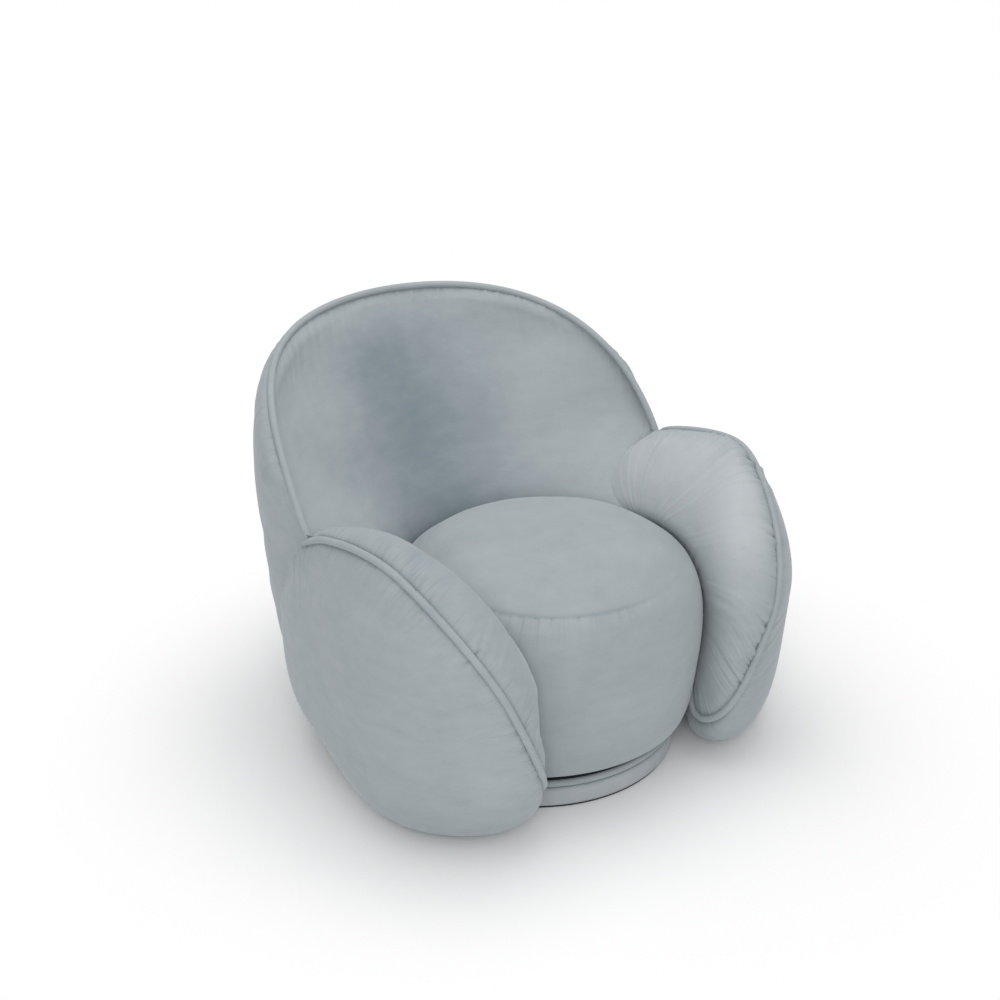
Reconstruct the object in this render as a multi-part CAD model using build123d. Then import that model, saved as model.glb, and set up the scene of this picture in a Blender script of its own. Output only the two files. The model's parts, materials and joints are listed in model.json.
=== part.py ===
from build123d import *
import os
from math import cos, sin, radians, sqrt

# Swivel armchair: a round pouf seat on a recessed turning plinth, wrapped by two petal arms and a
# reclined tub back, all sewn in velvet with a thick welt along every free edge.
# Millimetres. The origin lies on the floor on the swivel axis, +Z is up and the sitter faces -Y.
# The left arm is the sitter's left, on the +X side.

# Cord and gaps
welt_radius = 6.2
welt_groove_gap = 0.3
soft_gap = 0.4
screw_gap = 0.05

# Plinth
plinth_radius = 262.0
plinth_height = 55.0
plinth_cover_thickness = 4.0
plinth_board_thickness = 12.0
plinth_wall_thickness = 12.0
plinth_top_thickness = 15.0
felt_thickness = 4.0

# Swivel bearing
swivel_plate_side = 180.0
swivel_plate_thickness = 3.0
swivel_plate_corner = 14.0
race_radius = 70.0
ball_radius = 5.0
ball_count = 12
ball_seat_depth = 1.0
ball_running_gap = 0.3
cage_width = 16.0
cage_thickness = 3.0
pin_radius = 8.0
pin_head_radius = 14.0
pin_head_height = 4.0
pin_running_gap = 0.05
screw_radius = 2.5
screw_head_radius = 5.0
screw_head_height = 3.0
screw_inset = 20.0
screw_length = 15.0
bolt_reach = 24.0
spacer_radius = 140.0
spacer_thickness = 10.0

# Seat pouf
seat_foot_radius = 285.0
seat_belly_radius = 291.0
seat_belly_rise = 40.0
seat_crown_height = 428.0
seat_roundness = 0.48
seat_overhang = 52.0
seat_seam_drop = 39.0
seat_board_thickness = 18.0
seat_board_margin = 5.0
dust_cover_thickness = 1.0
hoop_radius = 228.0
hoop_thickness = 12.0
hoop_top_drop = 138.0
hoop_set_forward = 20.0
seat_core_radius = 190.0
strap_width = 45.0
strap_thickness = 2.0
strap_pitch = 95.0
strap_count = 4

# Arms, with heights taken from the seat's crown
arm_centre_x = 336.0
arm_centre_y = -107.0
arm_belly_drop = 123.0
arm_half_width = 122.0
arm_nose_length = 222.0
arm_tail_length = 458.0
arm_top_rise = 119.0
arm_foot = 8.0
arm_crown_power = 1.5
arm_foot_power = 5.3
arm_plan_power = 2.2
arm_lean = 0.098
arm_rake = -0.033
arm_nose_curl = 78.0
arm_welt_low_angle = 106.0

# Seam planes
seam_x = 395.0
seam_y = 128.0
seam_rise = 39.0
seam_normal = Vector(0.505, -0.754, -0.419)
welt_plane_x = 238.0
welt_plane_y = 91.0
welt_plane_drop = 304.0
welt_plane_normal = Vector(0.9095, -0.0691, -0.4099)

# Tub back, with heights taken from the seat's crown
back_axis_y = 110.0
back_foot_radius = 305.0
back_waist_radius = 424.0
back_waist_drop = 101.0
back_shoulder_radius = 435.0
back_shoulder_rise = 83.0
back_head_radius = 428.0
back_head_rise = 332.0
back_outer_pad_thickness = 30.0
rim_radius = 393.0
rim_axis_y = 131.0
rim_arc_radius = 584.0
rim_arc_y = 619.0
rim_arc_drop = 277.0

# Inner face of the back: rise over the seat's crown, half width, how far back the sides and the middle lie
hollow_steps = (
    (-88.0, 230.0, 70.0, 232.0),
    (-56.0, 236.0, 75.0, 249.0),
    (39.0, 395.0, 128.0, 327.0),
    (136.0, 403.0, 217.0, 406.0),
    (214.0, 406.0, 246.0, 472.0),
    (271.0, 367.0, 245.0, 511.0),
    (332.0, 340.0, 249.0, 545.0),
)

# Wooden frame
side_board_radius = 297.0
side_board_thickness = 12.0
side_board_foot = 40.0
side_board_drop = 28.0
side_board_half_width = 95.0
back_board_half_angle = 36.0
rib_thickness = 15.0
rib_angles = (-42.0, 0.0, 42.0)
rib_inset = 36.0
rail_thickness = 15.0
rail_foot_rise = 162.0
frame_bolt_radius = 4.0
frame_bolt_head_radius = 8.0
frame_bolt_head_height = 5.0
spot_face_depth = 3.0
spot_face_gap = 0.3
arm_bolt_height = 200.0
arm_bolt_half_spacing = 45.0
back_bolt_angles = (-24.0, 0.0, 24.0)

# Levels that follow from the sizes above
plate_floor = plinth_height
ball_level = plate_floor + swivel_plate_thickness - ball_seat_depth + ball_radius
upper_plate_floor = ball_level + ball_radius - ball_seat_depth
spacer_floor = upper_plate_floor + swivel_plate_thickness
seat_board_floor = spacer_floor + spacer_thickness
seat_board_top = seat_board_floor + seat_board_thickness
seat_foot = seat_board_floor - dust_cover_thickness
seat_belly_height = seat_foot + seat_belly_rise
hoop_top = seat_crown_height - hoop_top_drop
webbing_top = hoop_top + 2 * strap_thickness
seat_seam_height = seat_crown_height - seat_seam_drop
side_board_top = seat_crown_height - side_board_drop
arm_belly_height = seat_crown_height - arm_belly_drop
arm_top = seat_crown_height + arm_top_rise
seam_point = Vector(seam_x, seam_y, seat_crown_height + seam_rise)
welt_plane_point = Vector(welt_plane_x, welt_plane_y, seat_crown_height - welt_plane_drop)
back_waist_height = seat_crown_height - back_waist_drop
back_shoulder_height = seat_crown_height + back_shoulder_rise
back_head_height = seat_crown_height + back_head_rise
rim_arc_z = seat_crown_height - rim_arc_drop
rail_foot = seat_crown_height + rail_foot_rise
far = 2000.0

os.makedirs("parts", exist_ok=True)


def signed_power(value, power):
    return abs(value) ** power if value >= 0 else -abs(value) ** power


def arc_wire(points):
    # Closed outline of arcs, each through three neighbouring points.
    count = len(points)
    arcs = [ThreePointArc(points[i], points[i + 1], points[(i + 2) % count]) for i in range(0, count, 2)]
    return Wire(arcs)


def largest(shape):
    return max(shape.solids(), key=lambda solid: solid.volume)


def half_space(point, normal, gap=0.0):
    # Everything on the side that the normal points to, starting at the gap.
    return Plane(origin=point, z_dir=normal) * Pos(0, 0, far / 2 + gap) * Box(far, far, far)


def ring(outer, inner, floor, top):
    height = top - floor
    return Pos(0, 0, floor) * (
        Cylinder(outer, height, align=(Align.CENTER, Align.CENTER, Align.MIN))
        - Cylinder(inner, height, align=(Align.CENTER, Align.CENTER, Align.MIN))
    )


def disc(radius, floor, top):
    return Pos(0, 0, floor) * Cylinder(radius, top - floor, align=(Align.CENTER, Align.CENTER, Align.MIN))


def save(shape, name):
    export_step(shape, f"parts/{name}.step")


def mirrored(shape):
    return mirror(shape, about=Plane.YZ)


# Seat pouf: level circles that shift forward as they rise, with a flat crown.
def seat_level(angle, grow):
    spread = cos(radians(angle)) ** seat_roundness
    climb = sin(radians(angle)) ** seat_roundness
    level = seat_belly_height + (seat_crown_height + grow - seat_belly_height) * climb
    return (seat_belly_radius + grow) * spread, level


def seat_circle(radius, level):
    shift = -seat_overhang * (level - seat_foot) / (seat_crown_height - seat_foot)
    points = [
        Vector(radius * cos(radians(45 * k)), shift + radius * sin(radians(45 * k)), level) for k in range(8)
    ]
    return arc_wire(points)


def seat_body(grow):
    wires = [seat_circle(seat_foot_radius + grow, seat_foot)]
    for angle in (0, 18, 32, 46, 60, 74, 88):
        wires.append(seat_circle(*seat_level(angle, grow)))
    return Solid.make_loft(wires)


# Arm: level ovals on a leaning centre line, with a curled nose and a long tail.
def arm_point(angle, turn, inset):
    power = arm_crown_power if angle >= 0 else arm_foot_power
    spread = cos(radians(angle)) ** (2 / power)
    climb = signed_power(sin(radians(angle)), 2 / power)
    reach = arm_top - arm_belly_height if angle >= 0 else arm_belly_height - arm_foot
    level = arm_belly_height + (reach - inset) * climb
    across = signed_power(cos(radians(turn)), 2 / arm_plan_power)
    along = signed_power(sin(radians(turn)), 2 / arm_plan_power)
    length = arm_tail_length if along > 0 else arm_nose_length
    curl = arm_nose_curl * spread * min(along, 0) ** 2
    rise = level - arm_belly_height
    x = arm_centre_x + arm_lean * rise + (arm_half_width - inset) * spread * across - curl
    y = arm_centre_y + arm_rake * rise + (length - inset) * spread * along
    return Vector(x, y, level)


def arm_form(inset):
    wires = []
    for angle in (-77, -62, -42, -20, 4, 24, 42, 57, 70, 80, 87):
        wires.append(arc_wire([arm_point(angle, 22.5 * k, inset) for k in range(16)]))
    return Solid.make_loft(wires)


def arm_level(point):
    # Below 1 inside the arm's form, above 1 outside it.
    rise = point.Z - arm_belly_height
    climb = rise / (arm_top - arm_belly_height) if rise >= 0 else -rise / (arm_belly_height - arm_foot)
    power = arm_crown_power if rise >= 0 else arm_foot_power
    if climb >= 1:
        return climb
    spread = (1 - climb ** power) ** (1 / power)
    along = point.Y - arm_centre_y - arm_rake * rise
    along = along / arm_tail_length if along > 0 else along / arm_nose_length
    curl = arm_nose_curl * spread * min(along / spread, 0) ** 2
    across = (point.X - arm_centre_x - arm_lean * rise + curl) / arm_half_width
    level_size = (abs(across) ** arm_plan_power + abs(along) ** arm_plan_power) ** (1 / arm_plan_power)
    return (level_size ** power + climb ** power) ** (1 / power)


def arm_welt_path():
    # The welt lies where the arm's form meets its seam plane, found by halving along rays in the plane.
    forward = Vector(0, 0, 1).cross(welt_plane_normal).normalized() * -1
    upward = welt_plane_normal.cross(forward).normalized()
    if upward.Z < 0:
        upward = upward * -1
    if forward.Y > 0:
        forward = forward * -1
    across = upward.cross(forward)
    start = -14.0
    points = []
    steps = 12
    for k in range(steps + 1):
        turn = radians(start + (arm_welt_low_angle - start) * k / steps)
        ray = upward * cos(turn) + forward * sin(turn)
        near, distant = 0.0, 900.0
        for halving in range(40):
            middle = (near + distant) / 2
            if arm_level(welt_plane_point + ray * middle) < 1:
                near = middle
            else:
                distant = middle
        points.append(welt_plane_point + ray * near)
    return Spline(points)


def tube(path, radius):
    return sweep(Plane(origin=path @ 0, z_dir=path % 0) * Circle(radius), path=path)


# Tub back: a turned barrel outside, a hollow of widening arcs inside, under a curved rim.
def barrel(inset):
    waist = Vector(back_waist_radius - inset, 0, back_waist_height)
    upper = ThreePointArc(
        waist,
        Vector(back_shoulder_radius - inset, 0, back_shoulder_height),
        Vector(back_head_radius - inset, 0, back_head_height),
    )
    lower = TangentArc(waist, Vector(back_foot_radius - inset, 0, arm_foot + inset), tangent=(upper % 0) * -1)
    outline = Wire([
        upper,
        Line(upper @ 1, Vector(0, 0, back_head_height)),
        Line(Vector(0, 0, back_head_height), Vector(0, 0, arm_foot + inset)),
        Line(Vector(0, 0, arm_foot + inset), lower @ 1),
        lower,
    ])
    return Pos(0, back_axis_y, 0) * revolve(Face(outline), Axis.Z)


def hollow(grow):
    wires = []
    for rise, half_width, side, middle in hollow_steps:
        level = seat_crown_height + rise
        left = Vector(-half_width - grow, side, level)
        right = Vector(half_width + grow, side, level)
        rear = Vector(0, middle + grow, level)
        front_left = Vector(-half_width - grow, -far / 4, level)
        front_right = Vector(half_width + grow, -far / 4, level)
        wires.append(Wire([
            ThreePointArc(left, rear, right),
            Line(right, front_right),
            Line(front_right, front_left),
            Line(front_left, left),
        ]))
    return Solid.make_loft(wires)


def rim_limit(inset):
    return Pos(0, rim_arc_y, rim_arc_z) * Rot(0, 90, 0) * Cylinder(rim_arc_radius - inset, far)


def rim_path():
    points = []
    steps = 12
    for k in range(steps + 1):
        turn = radians(-88 + 176 * k / steps)
        y = rim_axis_y + rim_radius * cos(turn)
        climb = sqrt(rim_arc_radius ** 2 - (rim_arc_y - y) ** 2)
        points.append(Vector(rim_radius * sin(turn), y, rim_arc_z + climb))
    return Spline(points)


def behind_arms(shape, gap):
    right_normal = Vector(-seam_normal.X, seam_normal.Y, seam_normal.Z)
    right_point = Vector(-seam_point.X, seam_point.Y, seam_point.Z)
    shape = shape & half_space(seam_point, seam_normal * -1, gap)
    return shape & half_space(right_point, right_normal * -1, gap)


seat_room = seat_body(soft_gap) + disc(seat_foot_radius + soft_gap, 0, seat_foot + 1)
seat_skin = seat_body(0)

# Plinth
plinth_core_radius = plinth_radius - plinth_cover_thickness
save(disc(plinth_core_radius, 0, felt_thickness), "base_felt")
plinth_floor_top = felt_thickness + plinth_board_thickness
plinth_lid_floor = plinth_height - plinth_top_thickness
plinth_lid_radius = plinth_core_radius - welt_radius - welt_groove_gap
plinth_welt_level = plinth_height - welt_radius
save(disc(plinth_core_radius, felt_thickness, plinth_floor_top), "plinth_floor_board")
save(
    ring(plinth_core_radius, plinth_core_radius - plinth_wall_thickness, plinth_floor_top, plinth_lid_floor),
    "plinth_wall",
)
plinth_cover_top = plinth_welt_level - welt_radius - welt_groove_gap
save(ring(plinth_radius, plinth_core_radius, felt_thickness, plinth_cover_top), "plinth_cover")
save(Pos(0, 0, plinth_welt_level) * Torus(plinth_core_radius, welt_radius), "plinth_welt")

# Swivel bearing
corner = swivel_plate_side / 2 - screw_inset
corner_spots = [Vector(corner * sx, corner * sy, 0) for sx in (-1, 1) for sy in (-1, 1)]


def swivel_plate(floor, bore, groove):
    blank = RectangleRounded(swivel_plate_side, swivel_plate_side, swivel_plate_corner) - Circle(bore)
    for spot in corner_spots:
        blank -= Pos(spot.X, spot.Y) * Circle(screw_radius + screw_gap)
    plate = Pos(0, 0, floor) * extrude(blank, swivel_plate_thickness)
    return plate - Pos(0, 0, ball_level) * Torus(race_radius, groove)


def corner_holes(radius, floor, top):
    return [Pos(spot.X, spot.Y, 0) * disc(radius, floor, top) for spot in corner_spots]


plinth_lid = disc(plinth_lid_radius, plinth_lid_floor, plinth_height)
for hole in corner_holes(screw_radius + screw_gap, plinth_height - screw_length, plinth_height):
    plinth_lid -= hole
save(plinth_lid, "plinth_top_board")
save(swivel_plate(plate_floor, pin_radius + pin_running_gap, ball_radius + screw_gap), "swivel_lower_plate")
save(
    swivel_plate(upper_plate_floor, pin_radius + pin_running_gap, ball_radius + ball_running_gap),
    "swivel_upper_plate",
)
pin_head_floor = spacer_floor + ball_running_gap
swivel_pin = disc(pin_radius, plate_floor, pin_head_floor)
swivel_pin += disc(pin_head_radius, pin_head_floor, pin_head_floor + pin_head_height)
save(swivel_pin, "swivel_pin")
ball_turns = [360 / ball_count * k for k in range(ball_count)]
balls = [Rot(0, 0, turn) * Pos(race_radius, 0, ball_level) * Sphere(ball_radius) for turn in ball_turns]
save(Compound(children=[ball.solid() for ball in balls]), "bearing_balls")
cage = ring(
    race_radius + cage_width / 2,
    race_radius - cage_width / 2,
    ball_level - cage_thickness / 2,
    ball_level + cage_thickness / 2,
)
for turn in ball_turns:
    cage -= Rot(0, 0, turn) * Pos(race_radius, 0, 0) * disc(ball_radius + screw_gap, 0, plinth_height * 2)
save(cage, "ball_cage")
lower_screws = []
upper_bolts = []
for spot in corner_spots:
    at = Pos(spot.X, spot.Y, 0)
    head_floor = plate_floor + swivel_plate_thickness
    screw = disc(screw_radius, plinth_height - screw_length, head_floor)
    screw += disc(screw_head_radius, head_floor, head_floor + screw_head_height)
    lower_screws.append((at * screw).solid())
    bolt = disc(screw_radius, upper_plate_floor, upper_plate_floor + bolt_reach)
    bolt += disc(screw_head_radius, upper_plate_floor - screw_head_height, upper_plate_floor)
    upper_bolts.append((at * bolt).solid())
save(Compound(children=lower_screws), "plinth_screws")
save(Compound(children=upper_bolts), "swivel_bolts")

# Seat frame
spacer = ring(spacer_radius, pin_head_radius + pin_head_height, spacer_floor, seat_board_floor)
seat_board = disc(seat_foot_radius - seat_board_margin, seat_board_floor, seat_board_top)
for hole in corner_holes(screw_radius + screw_gap, upper_plate_floor, upper_plate_floor + bolt_reach):
    spacer -= hole
    seat_board -= hole
save(spacer, "swivel_spacer")
save(seat_board, "seat_board")
save(ring(seat_foot_radius - seat_board_margin, spacer_radius, seat_foot, seat_board_floor), "dust_cover")

hoop_at = Pos(0, -hoop_set_forward, 0)
hoop = hoop_at * ring(hoop_radius, hoop_radius - hoop_thickness, seat_board_top, hoop_top)
side_turns = [0, 180]


def frame_bolt(inner, outer, turn, aside, level):
    # A bolt along a radius, its head on the hoop's inside and its end in the board.
    shank = Rot(0, 90, 0) * Cylinder(
        frame_bolt_radius, outer - inner, align=(Align.CENTER, Align.CENTER, Align.MIN)
    )
    head = Rot(0, 90, 0) * Cylinder(
        frame_bolt_head_radius, frame_bolt_head_height, align=(Align.CENTER, Align.CENTER, Align.MAX)
    )
    return Rot(0, 0, turn) * Pos(inner, aside, level) * (shank + head)


def frame_bolt_hole(inner, outer, turn, aside, level):
    # The drilled hole and, towards the axis, the flat spot that the head sits on.
    hole = Rot(0, 90, 0) * Cylinder(
        frame_bolt_radius + screw_gap, outer - inner, align=(Align.CENTER, Align.CENTER, Align.MIN)
    )
    spot = Rot(0, 90, 0) * Cylinder(
        frame_bolt_head_radius + spot_face_gap, hoop_thickness, align=(Align.CENTER, Align.CENTER, Align.MAX)
    )
    return Rot(0, 0, turn) * Pos(inner, aside, level) * (hole + spot)


board_outer_radius = side_board_radius + side_board_thickness


def hoop_inside(turn, aside):
    # How far from the axis a bolt's head sits, a little into the hoop's inner face.
    forward = -hoop_set_forward * cos(radians(turn)) - aside
    along = -hoop_set_forward * sin(radians(turn))
    return along + sqrt((hoop_radius - hoop_thickness) ** 2 - forward ** 2) + spot_face_depth


arm_bolt_asides = (-arm_bolt_half_spacing, arm_bolt_half_spacing)
arm_bolt_spots = [(turn, aside) for turn in side_turns for aside in arm_bolt_asides]
back_bolt_spots = [(90 + turn, 0.0) for turn in back_bolt_angles]
arm_bolts = []
back_bolts = []
bolt_holes = []
for turn, aside in arm_bolt_spots:
    inner = hoop_inside(turn, aside)
    outer = sqrt(board_outer_radius ** 2 - aside ** 2)
    arm_bolts.append(frame_bolt(inner, outer, turn, aside, arm_bolt_height).solid())
    bolt_holes.append(frame_bolt_hole(inner, outer, turn, aside, arm_bolt_height))
for turn, aside in back_bolt_spots:
    inner = hoop_inside(turn, aside)
    back_bolts.append(frame_bolt(inner, board_outer_radius, turn, aside, arm_bolt_height).solid())
    bolt_holes.append(frame_bolt_hole(inner, board_outer_radius, turn, aside, arm_bolt_height))


def drilled(shape):
    for hole in bolt_holes:
        shape = shape - hole
    return shape


save(Compound(children=arm_bolts), "arm_bolts")
save(Compound(children=back_bolts), "back_bolts")
save(drilled(hoop), "seat_hoop")

strap_spots = [strap_pitch * (k - (strap_count - 1) / 2) for k in range(strap_count)]
long_straps = []
cross_straps = []
for spot in strap_spots:
    reach = 2 * sqrt(hoop_radius ** 2 - (abs(spot) + strap_width / 2) ** 2)
    strap = Box(reach, strap_width, strap_thickness, align=(Align.CENTER, Align.CENTER, Align.MIN))
    cross_straps.append((hoop_at * Pos(0, spot, hoop_top) * strap).solid())
    long_straps.append((hoop_at * Pos(spot, 0, hoop_top + strap_thickness) * Rot(0, 0, 90) * strap).solid())
save(Compound(children=cross_straps), "seat_webbing_cross")
save(Compound(children=long_straps), "seat_webbing_long")

# Seat padding: a core block on the webbing, a border roll around the hoop and a crowned top pad
above_seam = half_space(Vector(0, 0, seat_seam_height), Vector(0, 0, 1))
below_seam = half_space(Vector(0, 0, seat_seam_height), Vector(0, 0, -1))
seat_core = hoop_at * disc(seat_core_radius, webbing_top, seat_seam_height)
seat_border = (seat_skin & below_seam) - hoop_at * disc(hoop_radius, 0, webbing_top) - seat_core
seat_border -= disc(seat_foot_radius - seat_board_margin, 0, seat_board_top)
save(seat_core, "seat_core_foam")
save(largest(drilled(seat_border)), "seat_border_pad")
save(largest(seat_skin & above_seam), "seat_top_pad")

# Arms: a bent side board buried between an inner and an outer pad that meet at the welt
arm_path = arm_welt_path()
before_back = half_space(seam_point, seam_normal, soft_gap / 2)
arm_welt = (tube(arm_path, welt_radius) & before_back) - seat_room
arm_groove = tube(arm_path, welt_radius + welt_groove_gap)
side_board = ring(board_outer_radius, side_board_radius, side_board_foot, side_board_top)
side_board = side_board & Pos(side_board_radius, 0, 0) * Box(side_board_radius, 2 * side_board_half_width, far)
side_board = largest((side_board & before_back) - seat_room)
arm_pad = (arm_form(0) & before_back) - seat_room - arm_groove - side_board
arm_pad = drilled(arm_pad)
arm_pieces = {
    "arm_welt": largest(arm_welt),
    "arm_outer_pad": largest(arm_pad & half_space(welt_plane_point, welt_plane_normal)),
    "arm_inner_pad": largest(arm_pad & half_space(welt_plane_point, welt_plane_normal * -1)),
    "arm_board": largest(drilled(side_board)),
}
for name, piece in arm_pieces.items():
    save(piece, f"left_{name}")
    save(mirrored(piece), f"right_{name}")

# Back: a bent board, upright ribs and a top rail inside an inner pad, wrapped by an outer pad
back_path = rim_path()
back_welt = behind_arms(tube(back_path, welt_radius), soft_gap / 2)
back_groove = tube(back_path, welt_radius + welt_groove_gap)


def back_body(inset):
    body = barrel(inset) & rim_limit(inset)
    return behind_arms(body - hollow(inset), soft_gap / 2) - seat_room


back_form = back_body(0) - back_groove
back_frame_room = back_body(rib_inset)
rail = Pos(0, rim_axis_y, 0) * ring(rim_radius, rim_radius - rail_thickness, rail_foot, back_head_height)
rail = largest(rail & back_frame_room)
back_board = ring(board_outer_radius, side_board_radius, side_board_foot, side_board_top)
wedge_reach = 2 * board_outer_radius
wedge_x = wedge_reach * sin(radians(back_board_half_angle))
wedge_y = wedge_reach * cos(radians(back_board_half_angle))
wedge = Polyline((0, 0), (wedge_x, wedge_y), (-wedge_x, wedge_y), (0, 0))
back_board = largest(drilled((back_board & extrude(make_face(wedge), far)) - seat_room))
ribs = []
for turn in rib_angles:
    blade = Box(rib_thickness, far / 2, back_head_height, align=(Align.CENTER, Align.MIN, Align.MIN))
    blade = Rot(0, 0, turn) * Pos(0, board_outer_radius, side_board_foot) * blade
    ribs.append(largest((blade & back_frame_room) - rail))
pad_limit = barrel(back_outer_pad_thickness)
back_outer_pad = back_form - pad_limit
back_inner_pad = drilled((back_form & pad_limit) - back_board - rail)
for rib in ribs:
    back_inner_pad = back_inner_pad - rib
save(largest(back_welt), "back_welt")
save(largest(back_outer_pad), "back_outer_pad")
save(largest(back_inner_pad), "back_inner_pad")
save(back_board, "back_board")
save(rail, "back_rail")
save(Compound(children=ribs), "back_ribs")
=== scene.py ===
import bmesh
import bpy
import json
import math
import numpy as np
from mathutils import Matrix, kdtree


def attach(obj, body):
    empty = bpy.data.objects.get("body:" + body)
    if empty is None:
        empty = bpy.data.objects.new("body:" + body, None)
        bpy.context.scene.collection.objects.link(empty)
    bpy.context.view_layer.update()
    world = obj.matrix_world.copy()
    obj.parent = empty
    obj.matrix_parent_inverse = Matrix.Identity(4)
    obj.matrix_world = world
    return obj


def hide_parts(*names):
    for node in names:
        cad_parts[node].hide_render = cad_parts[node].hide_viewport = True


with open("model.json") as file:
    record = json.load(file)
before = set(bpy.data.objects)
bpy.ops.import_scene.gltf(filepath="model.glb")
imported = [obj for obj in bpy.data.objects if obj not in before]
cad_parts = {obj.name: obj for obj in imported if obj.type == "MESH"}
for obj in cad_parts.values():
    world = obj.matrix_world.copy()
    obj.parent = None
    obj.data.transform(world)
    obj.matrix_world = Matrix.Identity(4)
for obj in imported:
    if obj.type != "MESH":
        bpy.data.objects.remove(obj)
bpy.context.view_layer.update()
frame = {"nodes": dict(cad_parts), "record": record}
nodes = frame["nodes"]
print("frame loaded:", len(nodes), "nodes")


# Numpy helpers

def powSigned(v, p):
    # a power that keeps the sign of v
    return np.sign(v) * np.abs(v) ** p


def unit(v):
    return v / np.linalg.norm(v, axis=-1, keepdims=True)


def bell(v, width):
    # 1 at v = 0, falling smoothly to 0 on both sides
    return np.exp(-(v / width) ** 2)


def ramp(v, low, high):
    # 0 below low, 1 above high, smooth between
    t = np.clip((v - low) / (high - low), 0, 1)
    return t * t * (3 - 2 * t)


def softMax(fields, k):
    # the largest field, with the creases between fields rounded over about k
    top = np.maximum.reduce(fields)
    return top + k * np.log(sum(np.exp((f - top) / k) for f in fields))


def waves(points, size, seed, count=24):
    # sum of plane waves in random directions: smooth noise of about unit spread, size is the wave length
    rng = np.random.default_rng(seed)
    way = unit(rng.normal(size=(count, points.shape[-1])))
    way = way * (2 * np.pi / size) * rng.uniform(0.6, 1.5, (count, 1))
    phase = rng.uniform(0, 2 * np.pi, count)
    return np.cos(points @ way.T + phase).sum(-1) * math.sqrt(2 / count)


def ripple(s, size, seed, count=14):
    # the same along one length s
    rng = np.random.default_rng(seed)
    rate = 2 * np.pi / size * rng.uniform(0.55, 1.7, count)
    phase = rng.uniform(0, 2 * np.pi, count)
    return sum(np.cos(s * r + p) for r, p in zip(rate, phase)) * math.sqrt(2 / count)


def circleBy(p0, p1, p2):
    # centre and radius of the circle through three plane points
    a, b, c = (np.asarray(p, float) for p in (p0, p1, p2))
    m = 2 * np.array([b - a, c - a])
    centre = np.linalg.solve(m, [b @ b - a @ a, c @ c - a @ a])
    return centre, np.linalg.norm(a - centre)


def smoothTable(x, xs, ys):
    # cubic through the points (xs, ys), with slopes taken from the neighbours
    xs, ys = np.asarray(xs, float), np.asarray(ys, float)
    slope = np.gradient(ys, xs)
    i = np.clip(np.searchsorted(xs, x) - 1, 0, len(xs) - 2)
    w = xs[i + 1] - xs[i]
    t = np.clip((x - xs[i]) / w, 0, 1)
    return ((1 + 2 * t) * (1 - t) ** 2 * ys[i] + t * (1 - t) ** 2 * w * slope[i]
            + t * t * (3 - 2 * t) * ys[i + 1] + t * t * (t - 1) * w * slope[i + 1])


def gridNormals(grid, wrapCols):
    # cross product of the two grid directions at each point
    if wrapCols:
        along = np.roll(grid, -1, 1) - np.roll(grid, 1, 1)
    else:
        along = np.gradient(grid, axis=1)
    n = np.cross(np.gradient(grid, axis=0), along)
    return n / np.maximum(np.linalg.norm(n, axis=-1, keepdims=True), 1e-9)


def gridPiece(name, grid, body, wrapRows=False, wrapCols=True, marks=None):
    # quads between neighbouring rows and columns of a grid of points, poles merged, faces outward
    rows, cols = grid.shape[:2]
    i = np.arange(rows if wrapRows else rows - 1)
    j = np.arange(cols if wrapCols else cols - 1)
    i, j = (g.ravel() for g in np.meshgrid(i, j, indexing="ij"))
    i2, j2 = (i + 1) % rows, (j + 1) % cols
    quads = np.stack([i * cols + j, i * cols + j2, i2 * cols + j2, i2 * cols + j], 1)
    mesh = bpy.data.meshes.new(name)
    mesh.vertices.add(rows * cols)
    mesh.vertices.foreach_set("co", grid.astype(np.float32).ravel())
    mesh.loops.add(quads.size)
    mesh.loops.foreach_set("vertex_index", quads.astype(np.int32).ravel())
    mesh.polygons.add(len(quads))
    mesh.polygons.foreach_set("loop_start", np.arange(0, quads.size, 4, dtype=np.int32))
    mesh.update(calc_edges=True)
    for label, values in (marks or {}).items():
        layer = mesh.attributes.new(label, "FLOAT", "POINT")
        layer.data.foreach_set("value", values.astype(np.float32).ravel())
    work = bmesh.new()
    work.from_mesh(mesh)
    bmesh.ops.remove_doubles(work, verts=work.verts, dist=1e-6)
    bmesh.ops.dissolve_degenerate(work, edges=work.edges, dist=1e-7)
    bmesh.ops.recalc_face_normals(work, faces=work.faces)
    work.to_mesh(mesh)
    work.free()
    mesh.polygons.foreach_set("use_smooth", np.ones(len(mesh.polygons), bool))
    piece = bpy.data.objects.new(name, mesh)
    bpy.context.collection.objects.link(piece)
    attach(piece, body)
    return piece


def lengthAlong(path):
    # metres from the path's start to each of its points
    return np.concatenate([[0], np.cumsum(np.linalg.norm(np.diff(path, axis=0), axis=1))])


def tubeGrid(path, radius, sides=20):
    # circle of the given radius carried along the path, with half-round ends
    ahead = unit(np.gradient(path, axis=0))
    lift = np.zeros_like(path)
    lift[0] = unit(np.cross(ahead[0], [0.31, 0.52, 0.79]))  # any direction across the path's start
    for k in range(1, len(path)):
        lift[k] = lift[k - 1] - ahead[k] * (lift[k - 1] @ ahead[k])  # carried along without twist
        lift[k] /= np.linalg.norm(lift[k])
    side = np.cross(ahead, lift)
    s = lengthAlong(path)
    close = np.minimum(s, s[-1] - s)
    size = radius * np.sqrt(1 - np.clip(1 - close / radius, 0, 1) ** 2)
    turn = np.linspace(0, 2 * np.pi, sides, endpoint=False)
    ring = np.cos(turn)[None, :, None] * lift[:, None] + np.sin(turn)[None, :, None] * side[:, None]
    return path[:, None] + size[:, None, None] * ring, np.repeat(s[:, None], sides, 1)


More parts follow.
